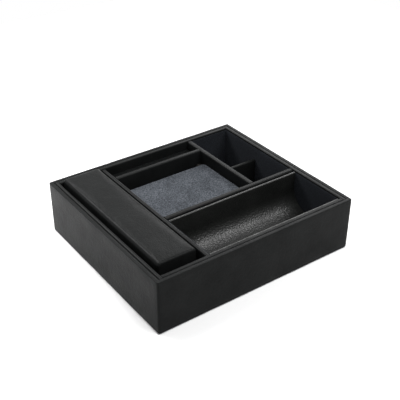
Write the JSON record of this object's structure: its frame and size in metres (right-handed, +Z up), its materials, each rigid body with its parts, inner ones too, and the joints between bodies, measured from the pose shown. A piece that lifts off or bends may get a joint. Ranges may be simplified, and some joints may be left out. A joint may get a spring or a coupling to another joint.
{
  "type": "leather valet box",
  "caption": "Low leather-covered valet box with a lift-out padded watch bar, a curved trough, a suede tray with a lift-out floor, a phone slot and lined bins.",
  "frame": {"origin": "on the table, in the middle of the footprint", "axes": "+X to the right, +Y to the back where the phone leans, +Z up"},
  "size_m": [0.222, 0.196, 0.0602],
  "materials": {
    "board": "fibreboard, unfinished",
    "card": "stiff bookbinding card",
    "leather": "black, fine grain, satin",
    "suede": "brushed suede, blue-grey",
    "felt": "black felt",
    "foam": "soft padding"
  },
  "bodies": {
    "box": {"base_felt": "felt", "base_board": "board", "front_wall_board": "board", "back_wall_board": "board", "left_wall_board": "board", "right_wall_board": "board", "outer_leather": "leather", "front_liner_board": "board", "front_liner_leather": "leather", "back_liner_board": "board", "back_liner_leather": "leather", "left_liner_board": "board", "left_liner_leather": "leather", "right_liner_board": "board", "right_liner_leather": "leather", "bay_divider_board": "board", "bay_divider_leather": "leather", "long_partition_board": "board", "long_partition_leather": "leather", "bin_divider_board": "board", "bin_divider_leather": "leather", "phone_rail_board": "board", "phone_rail_leather": "leather", "phone_slot_floor_board": "board", "phone_slot_floor_leather": "leather", "phone_slot_cleats": "board", "panel_cleats": "board", "cable_bay_lining": "felt", "trough_board": "card", "trough_leather": "leather", "trough_ribs": "board", "trough_left_lining": "suede", "trough_right_lining": "suede", "bin_lining": "suede", "low_partition_board": "board", "low_partition_leather": "leather", "front_bin_floor": "suede", "rear_bin_floor": "suede", "watch_bay_lining": "suede", "watch_bar_rests": "board"},
    "watch_bar": {"watch_bar_core": "board", "watch_bar_foam": "foam", "watch_bar_leather": "leather", "watch_bar_felt": "felt"},
    "tray_panel": {"tray_panel_board": "board", "tray_panel_suede": "suede"}
  },
  "joints": [
    {"name": "watch_bar_lift", "type": "slide", "parent": "box", "child": "watch_bar", "axis": [0, 0, 1], "range_m": [0, 0.05]},
    {"name": "tray_panel_lift", "type": "slide", "parent": "box", "child": "tray_panel", "axis": [0, 0, 1], "range_m": [0, 0.04]}
  ]
}
